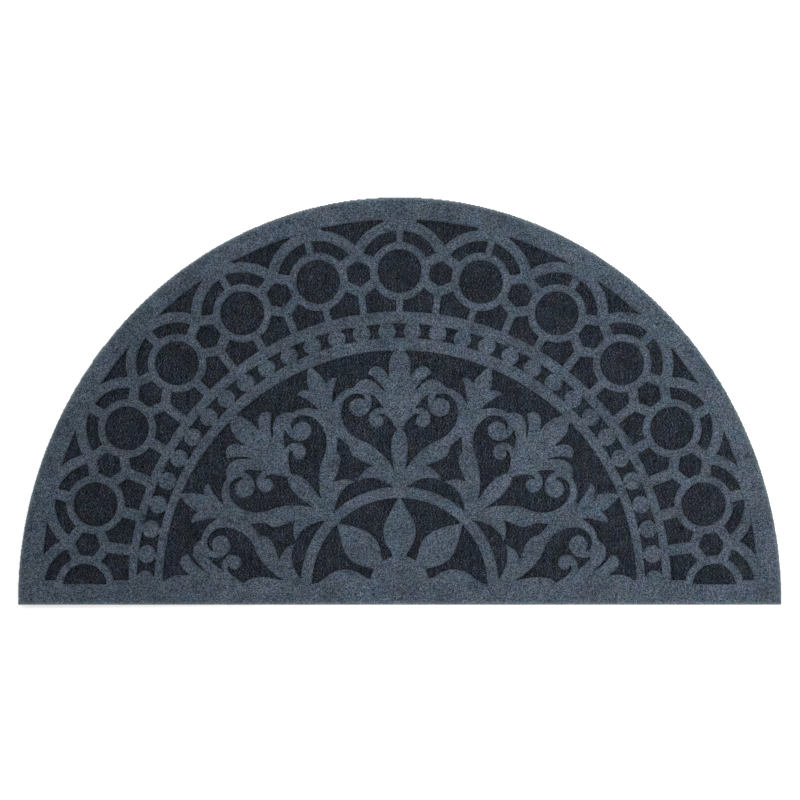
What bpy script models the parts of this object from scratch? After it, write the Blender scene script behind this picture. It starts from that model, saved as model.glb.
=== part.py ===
"""Half-round doormat with a raised ornament, modelled as one solid.

The mat lies flat with its underside on z = 0. Its straight edge runs along -Y and its arc faces +Y.
The ornament is a round design cut in half by the base band. It is laid out about a centre on the mat's
axis: "out" is the distance from that centre along the axis of a repeat, "across" is the distance
sideways from that axis, and angles are measured from +X. Charts are in millimetres.
"""
import math

import bmesh
import bpy
from mathutils import Vector
from mathutils.geometry import delaunay_2d_cdt

MM = 0.001

# Overall size
MAT_WIDTH = 750.0
MAT_DEPTH = 400.0
GROUND_HEIGHT = 5.0
PILE_RELIEF = 3.0

# The arc is half an ellipse, on a short straight stretch at each end
END_RISE = 2.5
OUTLINE_STEP = 15.0

# The ornament's centre and the top of the plain band along the straight edge
CENTRE_RISE = 18.5
BAND_RISE = 20.0

# How far bars and crowns run on into what they join
OVERLAP = 3.0

# Half widths of the half ellipses about the ornament's centre: (sideways, upwards)
BORDER_INSIDE = (351.6, 360.2)
OUTER_RAIL_OUTSIDE = (266.4, 269.5)
OUTER_RAIL_INSIDE = (258.6, 257.8)
INNER_RAIL_OUTSIDE = (241.1, 243.7)
INNER_RAIL_INSIDE = (233.0, 231.5)
ELLIPSE_STEP = 14.0

# Tracery: a ring of roundels under hoods, with a hexagon between each two
ROUNDEL_PITCH = 15.0
ROUNDEL_OUT = 309.2
ROUNDEL_RADIUS = 21.6
RING_RADIUS = 28.7
HOOD_INSIDE = 40.1
HOOD_OUTSIDE = 50.4
HOOD_START = 20.0
CROWN_WIDTH = 32.0
HEXAGON_OUT = 309.0
HEXAGON_INSIDE = 12.8
HEXAGON_OUTSIDE = 23.8
TRACERY_STEP = 7.6

# Widths of bars that point away from the centre: (where they lie sideways, where they stand upright)
SPOKE_WIDTHS = (10.8, 6.6)
BEAD_NECK_WIDTHS = (5.5, 11.5)

# Bead band between the two rails
BEADS_IN_A_TURN = 63
BEAD_OUT = 250.3
BEAD_RADIUS = 8.6
BEAD_STEP = 5.0
LOWEST_NECK_WIDTH = 13.0

# Arch around the rosette
ARCH_INSIDE = 86.4
ARCH_OUTSIDE = 97.3
ARCH_STEP = 8.0

# Rosette
HUB_RADIUS = 29.5

# Palmettes and petals repeat at this angle, with a trefoil halfway between two palmettes
FIELD_PITCH = 45.0
PALMETTES = 5
CURVE_STEP = 5.5

# Angles from a palmette's axis of the hidden corners of its recesses, under the arch and under the rail
UNDER_ARCH_ANGLE = 10.0
UNDER_RAIL_ANGLES = (4.5, 11.0, 18.0)

# Each chart below lists (across, out) along one smooth edge, from corner to corner
ROSETTE_PETAL = (
    (0.0, 88.0),
    (4.6, 80.0),
    (9.8, 71.0),
    (14.0, 63.0),
    (15.8, 55.0),
    (15.0, 46.5),
    (11.8, 38.8),
    (7.5, 32.0),
    (6.0, 27.0),
)
STEM_UPPER_EDGE = (
    (5.2, 111.5),
    (9.5, 120.0),
    (19.5, 131.2),
    (30.0, 139.2),
    (41.0, 144.3),
    (49.5, 151.0),
    (55.5, 160.5),
    (57.5, 171.0),
    (55.2, 181.0),
    (48.0, 187.8),
    (40.5, 188.9),
    (35.2, 186.6),
    (33.8, 182.2),
)
BIG_VOLUTE = (
    (33.8, 182.2),
    (37.8, 184.1),
    (43.3, 183.8),
    (48.0, 180.2),
    (49.3, 175.0),
    (47.3, 170.0),
    (42.5, 167.0),
    (37.0, 166.8),
    (32.0, 169.6),
    (28.7, 174.5),
    (27.5, 180.5),
    (28.8, 188.0),
)
WEDGE_SIDE = (
    (28.8, 188.0),
    (25.0, 186.1),
    (20.3, 181.5),
    (15.2, 174.6),
)
SMALL_VOLUTE = (
    (15.2, 174.6),
    (20.0, 175.0),
    (25.4, 172.9),
    (29.2, 168.8),
    (30.3, 163.5),
    (28.6, 158.6),
    (24.3, 156.0),
    (19.6, 156.5),
    (16.2, 160.0),
    (16.4, 164.5),
    (20.6, 168.4),
)
HOOK_EDGE = (
    (20.6, 168.4),
    (16.5, 169.0),
    (11.5, 166.2),
    (7.5, 161.5),
    (4.5, 156.5),
    (2.4, 153.6),
)
SPINDLE_EDGE = (
    (2.4, 153.6),
    (5.0, 150.2),
    (7.3, 144.5),
    (8.2, 137.5),
    (7.9, 130.0),
    (6.3, 120.5),
    (5.2, 111.5),
)
LEAF_LOWER_EDGE = (
    (5.5, 96.8),
    (13.0, 101.5),
    (22.0, 105.2),
    (30.5, 106.0),
    (36.5, 105.0),
    (41.0, 103.0),
)
LEAF_UPPER_EDGE = (
    (41.0, 103.0),
    (39.3, 107.3),
    (35.5, 112.2),
    (31.0, 115.8),
    (26.3, 118.2),
)
STEM_LOWER_EDGE = (
    (26.3, 118.2),
    (34.0, 121.5),
    (41.5, 124.9),
    (46.8, 128.6),
    (48.6, 132.5),
    (49.6, 136.8),
    (54.0, 141.0),
    (60.9, 147.0),
)
CENTRE_PETAL_EDGE = (
    (10.0, 204.5),
    (10.5, 211.0),
    (10.4, 218.0),
    (8.6, 225.0),
    (5.3, 231.0),
    (4.0, 237.0),
)
SIDE_PETAL_UPPER_EDGE = (
    (30.8, 208.4),
    (28.5, 213.2),
    (23.5, 215.7),
    (18.0, 213.9),
    (13.5, 209.3),
    (10.0, 204.5),
)
SIDE_PETAL_LOWER_EDGE = (
    (13.0, 189.5),
    (16.0, 194.3),
    (20.5, 200.0),
    (25.0, 204.2),
    (30.8, 208.4),
)
LOOP_TOP_EDGE = (
    (13.0, 189.5),
    (17.5, 193.5),
    (23.0, 198.9),
    (30.0, 202.4),
    (36.5, 202.3),
    (42.0, 199.0),
    (45.2, 195.0),
)

# The same, about the axis of a trefoil
LOOP_SIDE_EDGE = (
    (32.9, 197.4),
    (27.0, 198.1),
    (20.0, 197.2),
    (14.0, 194.8),
    (9.8, 191.9),
    (7.2, 190.6),
)
TREFOIL_LEAF_LOWER_EDGE = (
    (7.2, 190.6),
    (8.6, 194.3),
    (12.0, 200.3),
    (16.5, 206.8),
    (21.5, 212.3),
)
TREFOIL_LEAF_UPPER_EDGE = (
    (21.5, 212.3),
    (17.5, 213.8),
    (13.0, 213.3),
    (8.6, 211.0),
)
TREFOIL_LENS_EDGE = (
    (8.6, 211.0),
    (8.3, 215.5),
    (6.8, 221.0),
    (4.7, 226.2),
    (2.2, 231.5),
    (1.0, 237.0),
)

# Mesh cleaning
JOIN_WITHIN = 0.5
SAME_POINT = 0.00005
STRAIGHT_WITHIN = 1.5
CUT_TOLERANCE = 0.000001

# Finish
PILE_COLOUR = (0.066, 0.086, 0.115, 1.0)
PILE_ROUGHNESS = 0.95


def polar(out, degrees):
    """Point at a distance from the ornament's centre, in the direction of an angle."""
    angle = math.radians(degrees)
    return (out * math.cos(angle), out * math.sin(angle))


def arc(centre, radii, start, end, step):
    """Points along an arc of an ellipse from one angle to another, about a step apart."""
    length = math.radians(abs(end - start)) * max(radii)
    count = max(2, math.ceil(length / step))
    points = []
    for index in range(count + 1):
        angle = math.radians(start + (end - start) * index / count)
        points.append((centre[0] + radii[0] * math.cos(angle), centre[1] + radii[1] * math.sin(angle)))
    return points


def disc(centre, radius, step):
    """Points around a full circle."""
    return arc(centre, (radius, radius), 0.0, 360.0, step)[:-1]


def half_disc(radii, step):
    """Upper half of an ellipse about the ornament's centre."""
    return arc((0.0, 0.0), radii, 0.0, 180.0, step)


def half_ring(outside, inside, step):
    """Upper half of a ring between two ellipses about the ornament's centre."""
    return half_disc(outside, step) + half_disc(inside, step)[::-1]


def bar(start, end, width):
    """Rectangle along the line between two points."""
    along = (Vector(end) - Vector(start)).normalized()
    side = Vector((-along.y, along.x)) * width / 2.0
    corners = (Vector(start) - side, Vector(end) - side, Vector(end) + side, Vector(start) + side)
    return [tuple(corner) for corner in corners]


def spoke(degrees, inner, outer, width):
    """Bar that points away from the ornament's centre."""
    return bar(polar(inner, degrees), polar(outer, degrees), width)


def smooth(rows):
    """Points along a smooth curve through the rows of a chart."""
    rows = [Vector(row) for row in rows]
    before = rows[0] * 2.0 - rows[1]
    after = rows[-1] * 2.0 - rows[-2]
    knots = [before] + rows + [after]
    points = []
    for index in range(1, len(knots) - 2):
        p0, p1, p2, p3 = knots[index - 1:index + 3]
        count = max(1, round((p2 - p1).length / CURVE_STEP))
        for part in range(count):
            t = part / count
            point = p1 * 2.0 + (p2 - p0) * t
            point += (p0 * 2.0 - p1 * 5.0 + p2 * 4.0 - p3) * t ** 2
            point += (p1 * 3.0 - p0 - p2 * 3.0 + p3) * t ** 3
            points.append(tuple(point / 2.0))
    points.append(tuple(rows[-1]))
    return points


def join(*runs):
    """One closed outline from runs of points that share their end points."""
    points = []
    for run in runs:
        for point in run:
            if not points or math.dist(point, points[-1]) > JOIN_WITHIN:
                points.append(point)
    if math.dist(points[0], points[-1]) < JOIN_WITHIN:
        points.pop()
    return points


def mirror(points):
    """The same points on the other side of the axis of a repeat."""
    return [(-x, y) for x, y in points]


def turn(points, degrees):
    """Points turned about the ornament's centre."""
    angle = math.radians(degrees)
    cos, sin = math.cos(angle), math.sin(angle)
    return [(x * cos - y * sin, x * sin + y * cos) for x, y in points]


def place(points, axis, side=1):
    """Points of a repeat's right half, placed on its axis, on the right or (side -1) on the left."""
    if side < 0:
        points = mirror(points)
    return turn(points, axis - 90.0)


def beside_trefoil(rows):
    """A trefoil's left half, seen from the axis of the palmette on its left."""
    return turn(mirror(smooth(rows)), -FIELD_PITCH / 2.0)


def mat_outline():
    """Outline of the whole mat, about the ornament's centre."""
    low = -CENTRE_RISE
    end = END_RISE - CENTRE_RISE
    half = MAT_WIDTH / 2.0
    curve = arc((0.0, end), (half, MAT_DEPTH - END_RISE), 0.0, 180.0, OUTLINE_STEP)
    return [(-half, low), (half, low)] + curve


def base_band():
    """Plain band along the straight edge."""
    low = -CENTRE_RISE
    top = BAND_RISE - CENTRE_RISE
    half = MAT_WIDTH / 2.0
    return [(-half, low), (half, low), (half, top), (-half, top)]


def width_at(degrees, widths):
    """Width of a bar that points at this angle."""
    lying, standing = widths
    return standing + (lying - standing) * math.cos(math.radians(degrees)) ** 2


def hood(axis):
    """Arched hood over a roundel, with the crown that joins it to the border."""
    centre = (0.0, ROUNDEL_OUT)
    outside = arc(centre, (HOOD_OUTSIDE, HOOD_OUTSIDE), HOOD_START, 180.0 - HOOD_START, TRACERY_STEP)
    inside = arc(centre, (HOOD_INSIDE, HOOD_INSIDE), 180.0 - HOOD_START, HOOD_START, TRACERY_STEP)
    middle = ROUNDEL_OUT + (HOOD_INSIDE + HOOD_OUTSIDE) / 2.0
    crown = bar((0.0, middle), (0.0, max(BORDER_INSIDE) + OVERLAP), CROWN_WIDTH)
    return [place(outside + inside, axis), place(crown, axis)]


def hexagon(axis, radius):
    """Hexagon on a line halfway between two roundels, with a corner pointing outwards."""
    corners = [polar(radius, 90.0 + 60.0 * index) for index in range(6)]
    return place([(x, y + HEXAGON_OUT) for x, y in corners], axis)


def tracery_layers():
    """Roundels, hoods, hexagons, spokes and ties between the border and the outer rail."""
    raised = []
    recessed = []
    rail = min(OUTER_RAIL_OUTSIDE) - OVERLAP
    roundel_top = ROUNDEL_OUT + HOOD_INSIDE + OVERLAP
    steps = round(180.0 / ROUNDEL_PITCH)
    for index in range(steps + 1):
        axis = index * ROUNDEL_PITCH
        centre = polar(ROUNDEL_OUT, axis)
        raised += hood(axis)
        raised.append(spoke(axis, rail, roundel_top, width_at(axis, SPOKE_WIDTHS)))
        raised.append(disc(centre, RING_RADIUS, TRACERY_STEP))
        recessed.append(disc(centre, ROUNDEL_RADIUS, TRACERY_STEP))
    for index in range(steps):
        axis = (index + 0.5) * ROUNDEL_PITCH
        raised.append(hexagon(axis, HEXAGON_OUTSIDE))
        raised.append(spoke(axis, rail, HEXAGON_OUT - HEXAGON_INSIDE, width_at(axis, SPOKE_WIDTHS)))
        recessed.append(hexagon(axis, HEXAGON_INSIDE))
    return [(points, True) for points in raised] + [(points, False) for points in recessed]


def neck(axis, width):
    """Short bar across the bead channel, from rail to rail."""
    return spoke(axis, min(INNER_RAIL_OUTSIDE) - OVERLAP, max(OUTER_RAIL_INSIDE) + OVERLAP, width)


def bead_layers():
    """Round beads in the channel between the two rails, each on a short neck."""
    layers = [
        (half_disc(OUTER_RAIL_OUTSIDE, ELLIPSE_STEP), True),
        (half_disc(OUTER_RAIL_INSIDE, ELLIPSE_STEP), False),
    ]
    pitch = 360.0 / BEADS_IN_A_TURN
    for index in range(round(BEADS_IN_A_TURN / 4.0)):
        for side in (-1, 1):
            axis = 90.0 + side * (index + 0.5) * pitch
            layers.append((neck(axis, width_at(axis, BEAD_NECK_WIDTHS)), True))
            layers.append((disc(polar(BEAD_OUT, axis), BEAD_RADIUS, BEAD_STEP), True))
    for axis in (0.0, 180.0):
        layers.append((neck(axis, LOWEST_NECK_WIDTH), True))
    layers.append((half_disc(INNER_RAIL_OUTSIDE, ELLIPSE_STEP), True))
    return layers


def heart_cell():
    """Recess between a palmette's spindle, its scrolls and the stem that loops around them."""
    return join(
        smooth(STEM_UPPER_EDGE),
        smooth(BIG_VOLUTE),
        smooth(WEDGE_SIDE),
        smooth(SMALL_VOLUTE),
        smooth(HOOK_EDGE),
        smooth(SPINDLE_EDGE),
    )


def leaf_cell():
    """Recess around a base leaf, up to the line halfway to the next palmette."""
    foot = (ARCH_INSIDE + ARCH_OUTSIDE) / 2.0
    start = smooth(LEAF_LOWER_EDGE)
    under_arch = [polar(foot, 90.0 - angle) for angle in (FIELD_PITCH / 2.0, UNDER_ARCH_ANGLE)]
    under_arch.append((start[0][0], foot))
    return join(start, smooth(LEAF_UPPER_EDGE), smooth(STEM_LOWER_EDGE), under_arch)


def outer_cell():
    """Recess under the inner rail, from a palmette's centre petal to the next trefoil."""
    rail = (min(INNER_RAIL_OUTSIDE) + max(INNER_RAIL_INSIDE)) / 2.0
    under_rail = [polar(rail, 90.0 - angle) for angle in UNDER_RAIL_ANGLES]
    return join(
        smooth(CENTRE_PETAL_EDGE),
        under_rail,
        beside_trefoil(TREFOIL_LENS_EDGE)[::-1],
        beside_trefoil(TREFOIL_LEAF_UPPER_EDGE)[::-1],
        beside_trefoil(TREFOIL_LEAF_LOWER_EDGE)[::-1],
        beside_trefoil(LOOP_SIDE_EDGE)[::-1],
        smooth(LOOP_TOP_EDGE)[::-1],
        smooth(SIDE_PETAL_LOWER_EDGE),
        smooth(SIDE_PETAL_UPPER_EDGE),
    )


def field_layers():
    """Palmettes and trefoils: the recesses around them, then the rail and arch that bound the field."""
    layers = []
    cells = (heart_cell(), leaf_cell(), outer_cell())
    for index in range(PALMETTES):
        axis = index * FIELD_PITCH
        for side in (-1, 1):
            below_base = (axis == 0.0 and side > 0) or (axis == 180.0 and side < 0)
            if not below_base:
                layers += [(place(cell, axis, side), False) for cell in cells]
    layers.append((half_ring(INNER_RAIL_OUTSIDE, INNER_RAIL_INSIDE, ELLIPSE_STEP), True))
    arch = half_ring((ARCH_OUTSIDE, ARCH_OUTSIDE), (ARCH_INSIDE, ARCH_INSIDE), ARCH_STEP)
    layers.append((arch, True))
    return layers


def rosette_layers():
    """Leaf rosette at the ornament's centre, under the arch."""
    layers = [(half_disc((ARCH_INSIDE, ARCH_INSIDE), ARCH_STEP), False)]
    edge = smooth(ROSETTE_PETAL)
    petal = join(edge, mirror(edge)[::-1])
    for index in range(PALMETTES):
        layers.append((place(petal, index * FIELD_PITCH), True))
    layers.append((disc((0.0, 0.0), HUB_RADIUS, TRACERY_STEP), True))
    return layers


def anticlockwise(points):
    """The same outline, running anticlockwise."""
    area = 0.0
    for (x0, y0), (x1, y1) in zip(points, points[1:] + points[:1]):
        area += x0 * y1 - x1 * y0
    return points if area > 0.0 else points[::-1]


def all_layers():
    """Every shape from the bottom of the drawing to its top: (outline, raised)."""
    layers = [(mat_outline(), True), (half_disc(BORDER_INSIDE, ELLIPSE_STEP), False)]
    layers += tracery_layers()
    layers += bead_layers()
    layers += field_layers()
    layers += rosette_layers()
    layers.append((base_band(), True))
    return layers


def drawn_sheet(layers):
    """Flat mesh of the mat in which each face is raised (material 1) or recessed (material 0)."""
    corners = []
    outlines = []
    shift = CENTRE_RISE - MAT_DEPTH / 2.0
    for points, _ in layers:
        first = len(corners)
        for x, y in anticlockwise(points):
            corners.append(Vector((x * MM, (y + shift) * MM)))
        outlines.append(list(range(first, len(corners))))
    result = delaunay_2d_cdt(corners, [], outlines, 1, CUT_TOLERANCE, True)
    points, faces, owners = result[0], result[2], result[5]
    sheet = bmesh.new()
    vertices = [sheet.verts.new((point.x, point.y, GROUND_HEIGHT * MM)) for point in points]
    for face, owner in zip(faces, owners):
        if 0 not in owner:
            continue
        made = sheet.faces.new([vertices[index] for index in face])
        made.material_index = int(layers[max(owner)][1])
    loose = [vertex for vertex in sheet.verts if not vertex.link_faces]
    bmesh.ops.delete(sheet, geom=loose, context="VERTS")
    return sheet


def clean_sheet(sheet):
    """Join the faces of each level and drop the points that their edges don't need."""
    bmesh.ops.remove_doubles(sheet, verts=sheet.verts, dist=SAME_POINT)
    bmesh.ops.dissolve_limit(
        sheet,
        angle_limit=math.radians(STRAIGHT_WITHIN),
        use_dissolve_boundaries=False,
        verts=sheet.verts,
        edges=sheet.edges,
        delimit={"MATERIAL"},
    )
    bmesh.ops.triangulate(sheet, faces=sheet.faces)


def thicken(sheet):
    """Raise the ornament and close the sheet down to the flat underside."""
    raised = [face for face in sheet.faces if face.material_index == 1]
    rim = [edge for edge in sheet.edges if edge.is_boundary]
    skirt = bmesh.ops.extrude_edge_only(sheet, edges=rim)["geom"]
    bottom = [item for item in skirt if isinstance(item, bmesh.types.BMVert)]
    for vertex in bottom:
        vertex.co.z = 0.0
    bottom_edges = [edge for edge in sheet.edges if edge.is_boundary]
    bmesh.ops.edgeloop_fill(sheet, edges=bottom_edges)
    lifted = bmesh.ops.extrude_face_region(sheet, geom=raised)["geom"]
    tops = [item for item in lifted if isinstance(item, bmesh.types.BMVert)]
    bmesh.ops.translate(sheet, verts=tops, vec=(0.0, 0.0, PILE_RELIEF * MM))
    bmesh.ops.delete(sheet, geom=raised, context="FACES")
    bmesh.ops.recalc_face_normals(sheet, faces=sheet.faces)


def pile_material():
    """Plain stand-in for the heather blue-grey pile."""
    material = bpy.data.materials.new("pile")
    material.use_nodes = True
    shader = material.node_tree.nodes["Principled BSDF"]
    shader.inputs["Base Color"].default_value = PILE_COLOUR
    shader.inputs["Roughness"].default_value = PILE_ROUGHNESS
    shader.inputs["Metallic"].default_value = 0.0
    return material


def make_mat():
    """The doormat: flat underside, recessed ground and raised ornament in one closed body."""
    sheet = drawn_sheet(all_layers())
    clean_sheet(sheet)
    thicken(sheet)
    for face in sheet.faces:
        face.material_index = 0
    mesh = bpy.data.meshes.new("mat")
    sheet.to_mesh(mesh)
    sheet.free()
    mesh.materials.append(pile_material())
    mat = bpy.data.objects.new("mat", mesh)
    bpy.context.collection.objects.link(mat)


for old in list(bpy.data.objects):
    bpy.data.objects.remove(old, do_unlink=True)
make_mat()
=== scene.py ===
"""Half-round doormat: a heather pile ornament over a dark ribbed ground, on a thin rubber backing."""

import math

import bmesh
import bpy
import numpy as np
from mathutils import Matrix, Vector
from mathutils.kdtree import KDTree


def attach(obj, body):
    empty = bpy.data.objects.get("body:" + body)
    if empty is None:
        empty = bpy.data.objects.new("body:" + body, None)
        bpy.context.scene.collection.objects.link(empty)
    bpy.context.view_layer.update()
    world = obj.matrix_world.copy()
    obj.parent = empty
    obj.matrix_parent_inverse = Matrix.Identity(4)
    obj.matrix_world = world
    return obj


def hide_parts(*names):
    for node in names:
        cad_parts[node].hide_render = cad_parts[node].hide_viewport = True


# Heights in metres, as in the solid: what stands above the third one is raised pile
GROUND_HEIGHT = 0.005
TOP_HEIGHT = 0.008
RAISED_ABOVE = 0.0065

# Outlines: turns sharper than this stay corners, the rest are curved, and the inner outlines wander
CORNER_TURN = math.radians(52.0)
OUTLINE_STEP = 0.0005
OUTLINE_WANDER = 0.00028
OUTLINE_WANDER_SIZE = (0.0017, 0.0017)
OUTLINE_SEEDS = (1, 2)

# Cells that a grid has beyond its outline on each side
GRID_MARGIN = 2

# Noise is counted from this far left of and below the origin, so that its cells have positive numbers
NOISE_ORIGIN = 0.4

# Pile: a grid of tufts, whose points move onto an outline that is within a share of a step
PILE_STEP = 0.0008
SNAP_WITHIN = 0.6
NEAR_EDGE = 0.0024
EDGE_ROUNDING = 0.0012
TUFT_HEIGHT = 0.00026
TUFT_SEED = 11
CLUMP_SIZE = (0.0024, 0.0024)
CLUMP_HEIGHT = 0.00011
CLUMP_SEED = 12
SWELL_SIZE = (0.022, 0.022)
SWELL_HEIGHT = 0.00018
SWELL_SEED = 13

# Walls at the pile's sides: the inner ones go down into the ground, and the rim's hang over the backing
INNER_WALL = dict(foot=0.0042, rows=1, seed=21)
RIM_WALL = dict(foot=0.0016, rows=3, seed=22)
WALL_WANDER = 0.00010

# Width of the painted highlight along the rim, where the edge of the pile catches light
RIM_HIGHLIGHT_WIDTH = 0.005

# Zones of the ornament: radii of half ellipses about its centre, which run along the border and the rails
CENTRE_Y = -0.1815
TRACERY_INSIDE = (0.3570, 0.3656)
BEADS_INSIDE = (0.2625, 0.2637)
SCROLLS_INSIDE = (0.2371, 0.2376)
ZONES = (TRACERY_INSIDE, BEADS_INSIDE, SCROLLS_INSIDE)
ZONE_NAMES = ("pile_border", "pile_tracery", "pile_beads", "pile_scrolls")

# Ribbed ground
GROUND_STEP_X = 0.00066
GROUND_STEP_Y = 0.0009
RIB_PITCH = 0.0030
RIB_HEIGHT = 0.00028
RIB_WANDER = 0.0019
RIB_WANDER_SIZE = (0.0045, 0.0009)
RIB_SEED = 31
GRAIN_HEIGHT = 0.00010
GRAIN_SEED = 32

# Rubber backing: inset from the outline, and height, from the floor up
BACKING_ROWS = ((0.0015, 0.0), (0.0008, 0.0007), (0.0008, 0.0026))

# Colour ramps, each stop a position and a linear colour; tints are a ramp, its scale and its shift
PILE_FIBRES = (
    (0.0, (0.001, 0.004, 0.011)),
    (0.2, (0.015, 0.025, 0.042)),
    (0.5, (0.042, 0.060, 0.084)),
    (0.8, (0.084, 0.105, 0.133)),
    (1.0, (0.154, 0.175, 0.206)),
)
PILE_TONES = ((0.3, (0.80, 0.80, 0.80)), (0.7, (1.20, 1.20, 1.20)))
PILE_WARMTHS = ((0.35, (1.10, 0.985, 1.0)), (0.65, (0.90, 1.015, 1.0)))
PILE_BLUES = ((0.35, (1.0, 1.0, 1.08)), (0.65, (1.0, 1.0, 0.92)))
PILE_TINTS = ((PILE_TONES, 45.0, 1.0), (PILE_WARMTHS, 75.0, 3.0), (PILE_BLUES, 85.0, 5.0))
# Painted highlight added to the pile towards its rim: none inside, pale greenish grey at the edge
RIM_HIGHLIGHT = (
    (0.0, (0.0, 0.0, 0.0)),
    (0.4, (0.010, 0.012, 0.011)),
    (0.7, (0.037, 0.046, 0.044)),
    (1.0, (0.100, 0.122, 0.115)),
)
GROUND_FIBRES = (
    (0.0, (0.001, 0.001, 0.002)),
    (0.3, (0.004, 0.006, 0.010)),
    (0.6, (0.014, 0.018, 0.026)),
    (0.85, (0.031, 0.037, 0.049)),
    (1.0, (0.064, 0.075, 0.092)),
)
# Painted light and shade on the ribs: the crests made paler and the grooves between them darker
RIB_LIGHT_AND_SHADE = ((0.0, (0.25, 0.25, 0.25)), (1.0, (1.75, 1.75, 1.75)))
GROUND_TONES = ((0.3, (0.78, 0.78, 0.78)), (0.7, (1.22, 1.22, 1.22)))
GROUND_WARMTHS = ((0.35, (1.14, 0.97, 1.0)), (0.65, (0.86, 1.03, 1.0)))
GROUND_BLUES = ((0.35, (1.0, 1.0, 1.14)), (0.65, (1.0, 1.0, 0.86)))
GROUND_TINTS = ((GROUND_TONES, 50.0, 2.0), (GROUND_WARMTHS, 75.0, 4.0), (GROUND_BLUES, 85.0, 6.0))
RUBBER_TONES = ((0.3, (0.010, 0.010, 0.011)), (0.7, (0.018, 0.018, 0.019)))
FLOOR_TONES = ((0.0, (0.88, 0.88, 0.88)), (1.0, (0.90, 0.90, 0.90)))

# Speckles: cells per metre, and the scale of the space that they lie in
PILE_CELLS = (1500.0, (1.0, 1.0, 1.0))
GROUND_CELLS = (2200.0, (1.0, 0.8, 1.0))

# Noise: patches per metre and detail, the detail of tints, and the roughness of every noise
RUBBER_PATCHES = (120.0, 4.0)
FLOOR_PATCHES = (3.0, 1.0)
TINT_DETAIL = 2.0
NOISE_ROUGHNESS = 0.6

# Fine bumps: how many per metre, their detail, their strength and their depth in metres
PILE_BUMP = dict(scale=1300.0, detail=3.0, strength=0.6, depth=0.0004)
GROUND_BUMP = dict(scale=1300.0, detail=3.0, strength=0.5, depth=0.0003)
RUBBER_BUMP = dict(scale=900.0, detail=2.0, strength=0.7, depth=0.0003)
FLOOR_BUMP = dict(scale=400.0, detail=2.0, strength=0.1, depth=0.0001)

# Each shader's constant values, by socket
PILE_GLOSS = {"Roughness": 0.95, "Sheen Weight": 0.1, "Sheen Roughness": 0.5, "Specular IOR Level": 0.1}
GROUND_GLOSS = {"Roughness": 0.95, "Specular IOR Level": 0.05}
RUBBER_GLOSS = {"Roughness": 0.75, "Specular IOR Level": 0.35}
FLOOR_GLOSS = {"Roughness": 0.9, "Specular IOR Level": 0.1, "Emission Strength": 0.28}

# Numbers of the Mix node's sockets for colours: its factor, its two colours and its result
MIX_FACTOR = 0
MIX_FIRST = 6
MIX_SECOND = 7
MIX_RESULT = 2

# Camera straight above, at the photograph's scale
PHOTO_WIDTH = 0.7855
LENS = 85.0
SENSOR = 36.0
VIEW_CENTRE = (0.0003, 0.0011)

# Floor
FLOOR_HEIGHT = -0.0002
FLOOR_SIZE = 40.0

# Lights: surroundings whose strength falls from the horizon up, by the height of the direction, then a
# wide soft panel on the left and a narrow beam that lifts the right half
WORLD_TONES = {"From Min": 0.02, "From Max": 0.35, "To Min": 0.79, "To Max": 0.53}
SIDE_PANEL = dict(size=1.5, energy=44.0, spread=180.0, place=(-2.2, 1.2, 2.6), target=(0.0, 0.0, 0.0))
TOP_PANEL = dict(size=1.0, energy=2.1, spread=30.0, place=(0.3, -0.05, 2.0), target=(0.3, -0.05, 0.0))


# Outlines

def raised_triangles(node):
    """Places (x, y) of the node's points, and the triangles of its raised level as place numbers."""
    mesh = node.data
    mesh.calc_loop_triangles()
    points = np.empty(len(mesh.vertices) * 3, np.float32)
    mesh.vertices.foreach_get("co", points)
    points = points.reshape(-1, 3)
    corners = np.empty(len(mesh.loop_triangles) * 3, np.int32)
    mesh.loop_triangles.foreach_get("vertices", corners)
    corners = corners.reshape(-1, 3)
    level = corners[(points[corners][:, :, 2] > RAISED_ABOVE).all(axis=1)]
    places, names = np.unique(points[:, :2], axis=0, return_inverse=True)
    return places, names.ravel()[level]


def take_ring(following):
    """One closed chain of place numbers, taken out of the numbers that follow each one."""
    start = min(following)
    ring = [start]
    while True:
        after = following[ring[-1]].pop()
        if not following[ring[-1]]:
            del following[ring[-1]]
        if after == start:
            return ring
        ring.append(after)


def raised_rings(node):
    """Outlines of the node's raised level: rings of (x, y) with the raised side on the left."""
    places, level = raised_triangles(node)
    sides = {(a, b) for row in level.tolist() for a, b in zip(row, row[1:] + row[:1])}
    following = {}
    for a, b in sorted(sides):
        if (b, a) not in sides:
            following.setdefault(a, []).append(b)
    rings = []
    while following:
        rings.append(places[take_ring(following)].astype(float))
    return rings


def smooth_ring(ring):
    """The ring as closely spaced points, with sharp corners kept and the rest curved."""
    chord = np.roll(ring, -1, axis=0) - ring
    length = np.linalg.norm(chord, axis=1)
    ahead = chord / length[:, None]
    behind = np.roll(ahead, 1, axis=0)
    tangent = ahead * np.roll(length, 1)[:, None] + behind * length[:, None]
    tangent /= np.linalg.norm(tangent, axis=1)[:, None]
    turn = np.arccos(np.clip((ahead * behind).sum(axis=1), -1.0, 1.0))
    corner = (turn > CORNER_TURN)[:, None]
    leave = np.where(corner, ahead, tangent)
    arrive = np.roll(np.where(corner, behind, tangent), -1, axis=0)
    curves = []
    for index in range(len(ring)):
        count = max(1, math.ceil(length[index] / OUTLINE_STEP))
        t = np.arange(count)[:, None] / count
        curve = ring[index] * (1.0 - t) + (ring[index] + chord[index]) * t
        curve += (leave[index] * length[index] - chord[index]) * t * (1.0 - t) ** 2
        curve -= (arrive[index] * length[index] - chord[index]) * t ** 2 * (1.0 - t)
        curves.append(curve)
    return np.concatenate(curves)


def ragged_ring(ring):
    """The ring with its points moved a little either way, as the edge of a cut pile is."""
    moves = [soft_noise(ring[:, 0], ring[:, 1], OUTLINE_WANDER_SIZE, seed) for seed in OUTLINE_SEEDS]
    return ring + OUTLINE_WANDER * np.stack(moves, axis=1)


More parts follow.
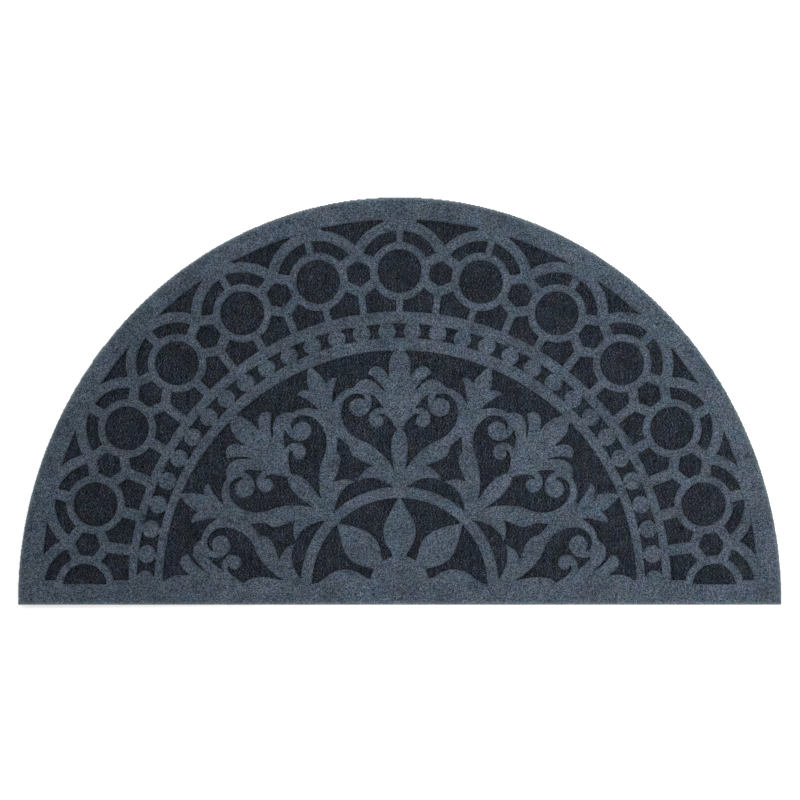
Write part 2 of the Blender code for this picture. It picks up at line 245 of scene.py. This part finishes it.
def inset_ring(ring, distance):
    """The ring moved inwards by a distance."""
    along = np.roll(ring, -1, axis=0) - np.roll(ring, 1, axis=0)
    along /= np.linalg.norm(along, axis=1)[:, None]
    return ring + np.stack([-along[:, 1], along[:, 0]], axis=1) * distance


def inside_rings(rings, xs, ys):
    """For each grid point, whether an odd number of rings surrounds it."""
    starts = np.concatenate(rings)
    ends = np.concatenate([np.roll(ring, -1, axis=0) for ring in rings])
    first = np.searchsorted(ys, np.minimum(starts[:, 1], ends[:, 1]))
    count = np.searchsorted(ys, np.maximum(starts[:, 1], ends[:, 1])) - first
    which = np.repeat(np.arange(len(starts)), count)
    row = np.arange(count.sum()) - np.repeat(np.cumsum(count) - count, count) + first[which]
    share = (ys[row] - starts[which, 1]) / (ends[which, 1] - starts[which, 1])
    crossing = starts[which, 0] + share * (ends[which, 0] - starts[which, 0])
    changes = np.zeros((len(ys), len(xs) + 1), np.int32)
    np.add.at(changes, (row, np.searchsorted(xs, crossing)), 1)
    return np.cumsum(changes, axis=1)[:, :-1] % 2 == 1


def nearest_on_rings(rings, points):
    """For each point, the nearest place on the rings and whether it is on the first ring."""
    starts = np.concatenate(rings)
    ends = np.concatenate([np.roll(ring, -1, axis=0) for ring in rings])
    before = np.concatenate([np.roll(ring, 1, axis=0) for ring in rings])
    tree = KDTree(len(starts))
    for index, (x, y) in enumerate(starts.tolist()):
        tree.insert((x, y, 0.0), index)
    tree.balance()
    found = np.array([tree.find((x, y, 0.0))[1] for x, y in points.tolist()])
    best = starts[found]
    for other in (ends[found], before[found]):
        along = other - starts[found]
        share = ((points - starts[found]) * along).sum(axis=1) / (along ** 2).sum(axis=1)
        place = starts[found] + along * np.clip(share, 0.0, 1.0)[:, None]
        nearer = np.linalg.norm(points - place, axis=1) < np.linalg.norm(points - best, axis=1)
        best = np.where(nearer[:, None], place, best)
    return best, found < len(rings[0])


def ring_distance(rings, x, y, near, reach):
    """Each grid point's distance from the rings, or reach if it isn't near, then nearest_on_rings."""
    place, on_first = nearest_on_rings(rings, np.stack([x[near], y[near]], axis=1))
    distance = np.full(x.shape, reach)
    distance[near] = np.hypot(x[near] - place[:, 0], y[near] - place[:, 1])
    return distance, place, on_first


# Grids

def soft_noise(x, y, size, seed):
    """Smooth random value from -1 to 1 at each point, in bumps about as wide as size."""
    u = (x + NOISE_ORIGIN) / size[0]
    v = (y + NOISE_ORIGIN) / size[1]
    column, row = u.astype(int), v.astype(int)
    lattice = np.random.default_rng(seed).uniform(-1.0, 1.0, (row.max() + 2, column.max() + 2))
    s, t = u - column, v - row
    s, t = s * s * (3.0 - 2.0 * s), t * t * (3.0 - 2.0 * t)
    low = lattice[row, column] * (1.0 - s) + lattice[row, column + 1] * s
    high = lattice[row + 1, column] * (1.0 - s) + lattice[row + 1, column + 1] * s
    return low * (1.0 - t) + high * t


def grid_lines(low, high, step):
    """Evenly spaced grid lines from just below low to just above high."""
    count = math.ceil((high - low) / step) + 2 * GRID_MARGIN
    middle = (low + high) / 2.0
    return middle + (np.arange(count + 1) - count / 2.0) * step


def grid_over(outline, step_x, step_y):
    """Grid lines in x and in y that cover an outline."""
    (low_x, low_y), (high_x, high_y) = outline.min(axis=0), outline.max(axis=0)
    return grid_lines(low_x, high_x, step_x), grid_lines(low_y, high_y, step_y)


def grid_points(x, y, z, painted_light):
    """Rows of x, y, z and painted light and shade, one for each grid point."""
    return np.stack([values.ravel() for values in (x, y, z, painted_light)], axis=1)


def checkered(shape):
    """For each cell of a grid of points, whether its row and column add up to an odd number."""
    rows, columns = shape
    return np.add.outer(np.arange(rows - 1), np.arange(columns - 1)) % 2 == 1


def cell_triangles(shape, use_other_diagonal):
    """Two triangles for each cell of a grid, split along the diagonal that is asked for."""
    index = np.arange(shape[0] * shape[1]).reshape(shape)
    a, b = index[:-1, :-1].ravel(), index[:-1, 1:].ravel()
    d, c = index[1:, :-1].ravel(), index[1:, 1:].ravel()
    other = use_other_diagonal.ravel()
    one = np.where(other[:, None], np.stack([a, b, d], 1), np.stack([a, b, c], 1))
    two = np.where(other[:, None], np.stack([b, c, d], 1), np.stack([a, c, d], 1))
    return np.concatenate([one, two])


def faces_up(points, triangles):
    """Which triangles still face up once their points have moved."""
    a, b, c = (points[triangles[:, corner], :2] for corner in range(3))
    (ux, uy), (vx, vy) = (b - a).T, (c - a).T
    return ux * vy - uy * vx > 0.0


def near_mask(inside, reach):
    """Grid points beside a change of inside, and those up to reach more steps from one."""
    near = np.zeros(inside.shape, bool)
    changes = inside[:, 1:] != inside[:, :-1]
    near[:, 1:] |= changes
    near[:, :-1] |= changes
    changes = inside[1:] != inside[:-1]
    near[1:] |= changes
    near[:-1] |= changes
    for _ in range(reach):
        grown = near.copy()
        grown[1:] |= near[:-1]
        grown[:-1] |= near[1:]
        grown[:, 1:] |= near[:, :-1]
        grown[:, :-1] |= near[:, 1:]
        near = grown
    return near


# Pieces

def new_object(name, data):
    """An object in the scene with this mesh, light or camera."""
    made = bpy.data.objects.new(name, data)
    bpy.context.scene.collection.objects.link(made)
    return made


def make_piece(name, points, triangles, material):
    """A smooth-shaded object from the points that the triangles use: x, y, z and painted light and shade
    from 0 to 1.
    """
    used, triangles = np.unique(triangles, return_inverse=True)
    triangles = triangles.reshape(-1, 3)
    mesh = bpy.data.meshes.new(name)
    mesh.vertices.add(len(used))
    mesh.vertices.foreach_set("co", points[used, :3].astype(np.float32).ravel())
    mesh.loops.add(triangles.size)
    mesh.loops.foreach_set("vertex_index", triangles.astype(np.int32).ravel())
    mesh.polygons.add(len(triangles))
    mesh.polygons.foreach_set("loop_start", np.arange(0, triangles.size, 3, dtype=np.int32))
    mesh.update(calc_edges=True)
    mesh.shade_smooth()
    mesh.materials.append(material)
    painted_light = mesh.attributes.new("painted_light", "FLOAT", "POINT")
    painted_light.data.foreach_set("value", points[used, 3].astype(np.float32))
    return new_object(name, mesh)


def painted_rim_highlight(rim, xs, ys):
    """Painted highlight along the rim, from 0 inside the mat to 1 at its rim, for each grid point."""
    x, y = np.meshgrid(xs, ys)
    near = near_mask(inside_rings(rim, xs, ys), math.ceil(RIM_HIGHLIGHT_WIDTH / PILE_STEP))
    distance, _, _ = ring_distance(rim, x, y, near, RIM_HIGHLIGHT_WIDTH)
    return 1.0 - np.clip(distance / RIM_HIGHLIGHT_WIDTH, 0.0, 1.0)


def pile_height(x, y, depth):
    """Height of the pile's surface: rounded towards its edges, tufted, clumped and gently uneven."""
    short = 1.0 - np.clip(depth / EDGE_ROUNDING, 0.0, 1.0)
    drop = EDGE_ROUNDING * (1.0 - np.sqrt(1.0 - short ** 2))
    tufts = np.random.default_rng(TUFT_SEED).uniform(-1.0, 1.0, x.shape)
    height = TOP_HEIGHT - drop + TUFT_HEIGHT * tufts
    height += CLUMP_HEIGHT * soft_noise(x, y, CLUMP_SIZE, CLUMP_SEED)
    height += SWELL_HEIGHT * soft_noise(x, y, SWELL_SIZE, SWELL_SEED)
    return height


def pile_triangles(points, usable, depth):
    """Triangles between usable grid points, on the raised side of the rings."""
    low, high = usable[:-1, :-1], usable[1:, 1:]
    whole = low & high & usable[:-1, 1:] & usable[1:, :-1]
    other = ~(low & high) | (whole & checkered(usable.shape))
    triangles = cell_triangles(usable.shape, other)
    kept = usable.ravel()[triangles].all(axis=1) & (depth.ravel()[triangles].mean(axis=1) > 0.0)
    return triangles[kept & faces_up(points, triangles)]


def pile_surface(rings):
    """Points, triangles and rim marks of the raised pile, on a grid that meets the rings."""
    xs, ys = grid_over(np.concatenate(rings), PILE_STEP, PILE_STEP)
    inside = inside_rings(rings, xs, ys)
    x, y = np.meshgrid(xs, ys)
    near = near_mask(inside, math.ceil(NEAR_EDGE / PILE_STEP))
    distance, place, on_rim = ring_distance(rings, x, y, near, NEAR_EDGE)
    depth = np.where(inside, distance, -distance)
    snapped = distance < SNAP_WITHIN * PILE_STEP
    x[snapped], y[snapped] = place[snapped[near]].T
    rim = np.zeros(x.shape, bool)
    rim[near] = on_rim
    z = pile_height(x, y, np.where(snapped, 0.0, depth))
    # The points' fourth value is the painted highlight along the rim
    points = grid_points(x, y, z, painted_rim_highlight(rings[:1], xs, ys))
    return points, pile_triangles(points, inside | snapped, depth), rim.ravel()


def open_sides(triangles):
    """Directed sides that only one triangle has, with the number of that triangle."""
    sides = np.concatenate([triangles[:, [0, 1]], triangles[:, [1, 2]], triangles[:, [2, 0]]])
    owner = np.tile(np.arange(len(triangles)), 3)
    _, names, uses = np.unique(np.sort(sides, axis=1), axis=0, return_inverse=True, return_counts=True)
    alone = uses[names.ravel()] == 1
    return sides[alone], owner[alone]


def add_walls(points, sides, foot, rows, seed):
    """Walls from some sides down to the foot height, their painted light fading downwards: all points,
    new triangles.
    """
    names, local = np.unique(sides, return_inverse=True)
    a, b = local.reshape(-1, 2).T
    top = points[names]
    levels = [names]
    made = []
    rng = np.random.default_rng(seed)
    for row in range(1, rows + 1):
        level = top.copy()
        level[:, 2] += (foot - level[:, 2]) * row / rows
        level[:, :2] += rng.uniform(-1.0, 1.0, (len(top), 2)) * WALL_WANDER * (row < rows)
        # The painted highlight fades down each wall
        level[:, 3] *= 1.0 - row / rows
        levels.append(len(points) + len(top) * (row - 1) + np.arange(len(top)))
        made.append(level)
    triangles = []
    for upper, lower in zip(levels, levels[1:]):
        triangles.append(np.stack([upper[b], upper[a], lower[a]], axis=1))
        triangles.append(np.stack([upper[b], lower[a], lower[b]], axis=1))
    return np.concatenate([points] + made), np.stack(triangles)


def within(points, radii):
    """Whether each point is inside the upper half of an ellipse about the ornament's centre."""
    x, y = ((points - (0.0, CENTRE_Y)) / radii).T
    return (x ** 2 + y ** 2 < 1.0) & (y > 0.0)


def pile_pieces(rings, material):
    """The raised pile, in four pieces from the border inwards."""
    points, triangles, rim = pile_surface(rings)
    sides, owner = open_sides(triangles)
    outer = rim[sides].all(axis=1)
    centres = points[triangles].mean(axis=1)[:, :2]
    zone = sum(within(centres, radii).astype(int) for radii in ZONES)
    faces, zones = [triangles], [zone]
    for chosen, wall in ((~outer, INNER_WALL), (outer, RIM_WALL)):
        points, walls = add_walls(points, sides[chosen], **wall)
        faces.append(walls.reshape(-1, 3))
        zones.append(np.tile(zone[owner[chosen]], len(walls)))
    faces, zones = np.concatenate(faces), np.concatenate(zones)
    return [
        make_piece(name, points, faces[zones == index], material)
        for index, name in enumerate(ZONE_NAMES)
    ]


def ground_pieces(rings, material):
    """The ribbed ground that shows in the recesses, in two halves."""
    xs, ys = grid_over(rings[0], GROUND_STEP_X, GROUND_STEP_Y)
    x, y = np.meshgrid(xs, ys)
    wander = RIB_WANDER * soft_noise(x, y, RIB_WANDER_SIZE, RIB_SEED)
    grain = np.random.default_rng(GRAIN_SEED).uniform(-1.0, 1.0, x.shape)
    rib = np.cos(2.0 * math.pi * (x + wander) / RIB_PITCH)
    z = GROUND_HEIGHT + RIB_HEIGHT * rib + GRAIN_HEIGHT * grain
    # The points' fourth value is painted light and shade of the ribs: 1 on the crests, 0 in the grooves
    points = grid_points(x, y, z, (1.0 + rib) / 2.0)
    raised = inside_rings(rings, xs, ys)
    shown = inside_rings(rings[:1], xs, ys) & (~raised | near_mask(raised, reach=0))
    triangles = cell_triangles(x.shape, checkered(x.shape))
    triangles = triangles[shown.ravel()[triangles].any(axis=1)]
    left = points[triangles].mean(axis=1)[:, 0] < 0.0
    return [
        make_piece("ground_left", points, triangles[left], material),
        make_piece("ground_right", points, triangles[~left], material),
    ]


def make_backing(ring, material):
    """Closed slab of rubber under the pile, with its lower edge slightly bevelled."""
    shape = bmesh.new()
    loops = []
    for inset, height in BACKING_ROWS:
        loops.append([shape.verts.new((x, y, height)) for x, y in inset_ring(ring, inset).tolist()])
    for lower, upper in zip(loops, loops[1:]):
        for index in range(len(lower)):
            after = (index + 1) % len(lower)
            shape.faces.new((lower[index], lower[after], upper[after], upper[index]))
    ends = [shape.faces.new(loops[0][::-1]), shape.faces.new(loops[-1])]
    bmesh.ops.triangulate(shape, faces=ends)
    mesh = bpy.data.meshes.new("backing")
    shape.to_mesh(mesh)
    shape.free()
    mesh.materials.append(material)
    return new_object("backing", mesh)


# Materials

class Nodes:
    """A material's node tree, with short calls to add nodes and link them."""

    def __init__(self, name):
        self.material = bpy.data.materials.new(name)
        self.material.use_nodes = True
        self.tree = self.material.node_tree
        self.shader = self.tree.nodes["Principled BSDF"]
        self.place = self.add("ShaderNodeTexCoord").outputs["Object"]

    def add(self, kind, links=None, **values):
        """A node with its own values set, and inputs, by name or number, set or linked from sockets."""
        node = self.tree.nodes.new(kind)
        for name, value in values.items():
            setattr(node, name, value)
        for name, source in (links or {}).items():
            if isinstance(source, bpy.types.NodeSocket):
                self.tree.links.new(source, node.inputs[name])
            else:
                node.inputs[name].default_value = source
        return node

    def noise(self, scale, detail, shift=0.0):
        """Noise value, with bumps about 1/scale metres wide, from the part of the noise at a shift."""
        place = self.add("ShaderNodeMapping", {"Vector": self.place, "Location": (shift, shift, 0.0)})
        links = {"Vector": place.outputs["Vector"], "Scale": scale, "Detail": detail}
        links["Roughness"] = NOISE_ROUGHNESS
        return self.add("ShaderNodeTexNoise", links).outputs["Fac"]

    def cells(self, scale, stretch):
        """Random value for each cell about 1/scale metres wide, in space scaled by stretch."""
        place = self.add("ShaderNodeMapping", {"Vector": self.place, "Scale": stretch}).outputs["Vector"]
        colour = self.add("ShaderNodeTexVoronoi", {"Vector": place, "Scale": scale}).outputs["Color"]
        return self.add("ShaderNodeSeparateColor", {"Color": colour}).outputs["Red"]

    def painted_light(self):
        """The painted light and shade that make_piece gave the points."""
        return self.add("ShaderNodeAttribute", attribute_name="painted_light").outputs["Fac"]

    def ramp(self, value, stops):
        """Colour along a ramp of (position, colour)."""
        node = self.add("ShaderNodeValToRGB", {"Fac": value})
        elements = node.color_ramp.elements
        while len(elements) < len(stops):
            elements.new(position=0.5)
        for element, (position, colour) in zip(elements, stops):
            element.position = position
            element.color = (*colour, 1.0)
        return node.outputs["Color"]

    def mix(self, kind, first, second):
        """Two colours multiplied or added."""
        links = {MIX_FACTOR: 1.0, MIX_FIRST: first, MIX_SECOND: second}
        return self.add("ShaderNodeMix", links, data_type="RGBA", blend_type=kind).outputs[MIX_RESULT]

    def tinted(self, colour, tints):
        """A colour multiplied by soft patches, each a ramp, its scale and its shift."""
        for stops, scale, shift in tints:
            patches = self.ramp(self.noise(scale, TINT_DETAIL, shift), stops)
            colour = self.mix("MULTIPLY", colour, patches)
        return colour

    def finish(self, colour, bump, gloss):
        """Links the colour and a fine bump to the shader and sets its constant values."""
        height = self.noise(bump["scale"], bump["detail"])
        links = {"Height": height, "Strength": bump["strength"], "Distance": bump["depth"]}
        normal = self.add("ShaderNodeBump", links).outputs["Normal"]
        self.tree.links.new(colour, self.shader.inputs["Base Color"])
        self.tree.links.new(normal, self.shader.inputs["Normal"])
        for name, value in gloss.items():
            self.shader.inputs[name].default_value = value
        return self.material


def pile_material():
    """Heather of slate, blue-grey and pale fibres, in speckles a little under a millimetre wide, with a
    painted highlight along the rim.
    """
    nodes = Nodes("heather_pile")
    colour = nodes.tinted(nodes.ramp(nodes.cells(*PILE_CELLS), PILE_FIBRES), PILE_TINTS)
    # Painted highlight along the rim, added to the heather
    colour = nodes.mix("ADD", colour, nodes.ramp(nodes.painted_light(), RIM_HIGHLIGHT))
    return nodes.finish(colour, PILE_BUMP, PILE_GLOSS)


def ground_material():
    """Near-black cloth with fine grey flecks, with painted light on the rib crests and painted shade in
    the grooves between them.
    """
    nodes = Nodes("dark_ground")
    speckle = nodes.ramp(nodes.cells(*GROUND_CELLS), GROUND_FIBRES)
    # Painted light and shade: the speckles paler on the rib crests and darker in the grooves
    speckle = nodes.mix("MULTIPLY", speckle, nodes.ramp(nodes.painted_light(), RIB_LIGHT_AND_SHADE))
    return nodes.finish(nodes.tinted(speckle, GROUND_TINTS), GROUND_BUMP, GROUND_GLOSS)


def rubber_material():
    """Black rubber with a fine moulded grain."""
    nodes = Nodes("rubber_backing")
    return nodes.finish(nodes.ramp(nodes.noise(*RUBBER_PATCHES), RUBBER_TONES), RUBBER_BUMP, RUBBER_GLOSS)


def floor_material():
    """Plain pale floor that glows a little."""
    nodes = Nodes("pale_floor")
    return nodes.finish(nodes.ramp(nodes.noise(*FLOOR_PATCHES), FLOOR_TONES), FLOOR_BUMP, FLOOR_GLOSS)


# Stage

def make_floor():
    """Plain pale floor."""
    mesh = bpy.data.meshes.new("floor")
    half = FLOOR_SIZE / 2.0
    corners = [(-half, -half, 0.0), (half, -half, 0.0), (half, half, 0.0), (-half, half, 0.0)]
    mesh.from_pydata(corners, [], [(0, 1, 2, 3)])
    mesh.materials.append(floor_material())
    floor = new_object("floor", mesh)
    floor.location.z = FLOOR_HEIGHT


def make_light(name, size, energy, spread, place, target):
    """Soft square light that points at a target, with its beam limited to a spread in degrees."""
    data = bpy.data.lights.new(name, "AREA")
    data.shape = "SQUARE"
    data.size = size
    data.energy = energy
    data.spread = math.radians(spread)
    light = new_object(name, data)
    light.location = place
    direction = light.location - Vector(target)
    light.rotation_euler = direction.to_track_quat("Z", "Y").to_euler()


def make_world():
    """White surroundings, a little lighter towards the horizon."""
    world = bpy.data.worlds.new("studio")
    world.use_nodes = True
    tree = world.node_tree
    direction = tree.nodes.new("ShaderNodeTexCoord").outputs["Generated"]
    height = tree.nodes.new("ShaderNodeSeparateXYZ")
    tree.links.new(direction, height.inputs["Vector"])
    tone = tree.nodes.new("ShaderNodeMapRange")
    for name, value in WORLD_TONES.items():
        tone.inputs[name].default_value = value
    tree.links.new(height.outputs["Z"], tone.inputs["Value"])
    tree.links.new(tone.outputs["Result"], tree.nodes["Background"].inputs["Strength"])
    tree.nodes["Background"].inputs["Color"].default_value = (1.0, 1.0, 1.0, 1.0)
    bpy.context.scene.world = world


def make_camera():
    """Camera straight above the mat, at the photograph's scale."""
    data = bpy.data.cameras.new("camera")
    data.lens = LENS
    data.sensor_width = SENSOR
    camera = new_object("camera", data)
    camera.location = (*VIEW_CENTRE, TOP_HEIGHT + PHOTO_WIDTH * LENS / SENSOR)
    bpy.context.scene.camera = camera


# The doormat around the frame, and its stage

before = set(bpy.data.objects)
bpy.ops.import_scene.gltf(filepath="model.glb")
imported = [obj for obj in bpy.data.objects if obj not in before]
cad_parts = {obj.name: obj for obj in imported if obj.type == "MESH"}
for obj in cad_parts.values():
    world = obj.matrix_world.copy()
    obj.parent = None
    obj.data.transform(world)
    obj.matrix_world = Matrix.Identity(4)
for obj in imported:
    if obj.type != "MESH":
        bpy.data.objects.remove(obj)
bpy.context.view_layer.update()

outlines = [smooth_ring(ring) for ring in raised_rings(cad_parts["mat"])]
outlines.sort(key=lambda ring: -np.ptp(ring[:, 0]))
ragged = outlines[:1] + [ragged_ring(ring) for ring in outlines[1:]]
pieces = pile_pieces(ragged, pile_material()) + ground_pieces(ragged, ground_material())
backing = make_backing(outlines[0], rubber_material())
for piece in pieces + [backing]:
    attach(piece, "root")
    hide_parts("mat")

make_floor()
make_world()
make_light("side_panel", **SIDE_PANEL)
make_light("top_panel", **TOP_PANEL)
make_camera()
bpy.context.scene.view_settings.view_transform = "Standard"
